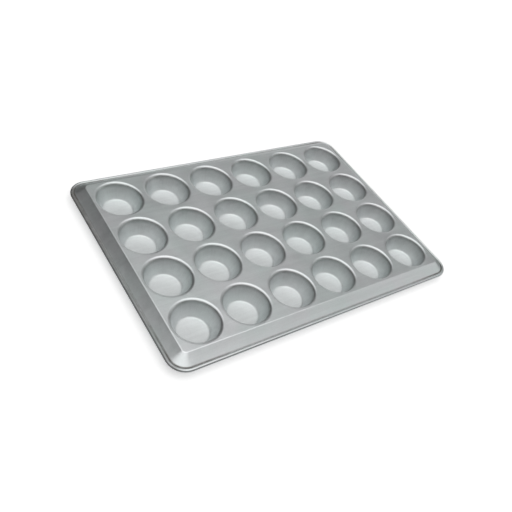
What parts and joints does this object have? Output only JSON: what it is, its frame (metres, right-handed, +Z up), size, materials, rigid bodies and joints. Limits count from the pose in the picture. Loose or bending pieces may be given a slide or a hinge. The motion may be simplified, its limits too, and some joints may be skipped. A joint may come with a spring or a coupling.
{
  "type": "baking pan",
  "caption": "Shallow rectangular baking pan of pressed steel, with a flat web of round cups, sloping walls and a wired, rolled rim.",
  "frame": {"origin": "middle of the pan in plan, on the surface that the undersides of the cups stand on", "axes": "+X along the long side and the rows of six cups, +Y across the rows, +Z up out of the cups"},
  "size_m": [0.6604, 0.4572, 0.0325],
  "materials": {
    "sheet_steel": "satin aluminised steel sheet with a clear baked glaze",
    "wire_steel": "bright drawn steel wire"
  },
  "bodies": {
    "root": {"pan_frame": "sheet_steel", "rim_wire": "wire_steel", "cup_row_1_column_1": "sheet_steel", "cup_row_1_column_2": "sheet_steel", "cup_row_1_column_3": "sheet_steel", "cup_row_1_column_4": "sheet_steel", "cup_row_1_column_5": "sheet_steel", "cup_row_1_column_6": "sheet_steel", "cup_row_2_column_1": "sheet_steel", "cup_row_2_column_2": "sheet_steel", "cup_row_2_column_3": "sheet_steel", "cup_row_2_column_4": "sheet_steel", "cup_row_2_column_5": "sheet_steel", "cup_row_2_column_6": "sheet_steel", "cup_row_3_column_1": "sheet_steel", "cup_row_3_column_2": "sheet_steel", "cup_row_3_column_3": "sheet_steel", "cup_row_3_column_4": "sheet_steel", "cup_row_3_column_5": "sheet_steel", "cup_row_3_column_6": "sheet_steel", "cup_row_4_column_1": "sheet_steel", "cup_row_4_column_2": "sheet_steel", "cup_row_4_column_3": "sheet_steel", "cup_row_4_column_4": "sheet_steel", "cup_row_4_column_5": "sheet_steel", "cup_row_4_column_6": "sheet_steel"}
  },
  "joints": []
}
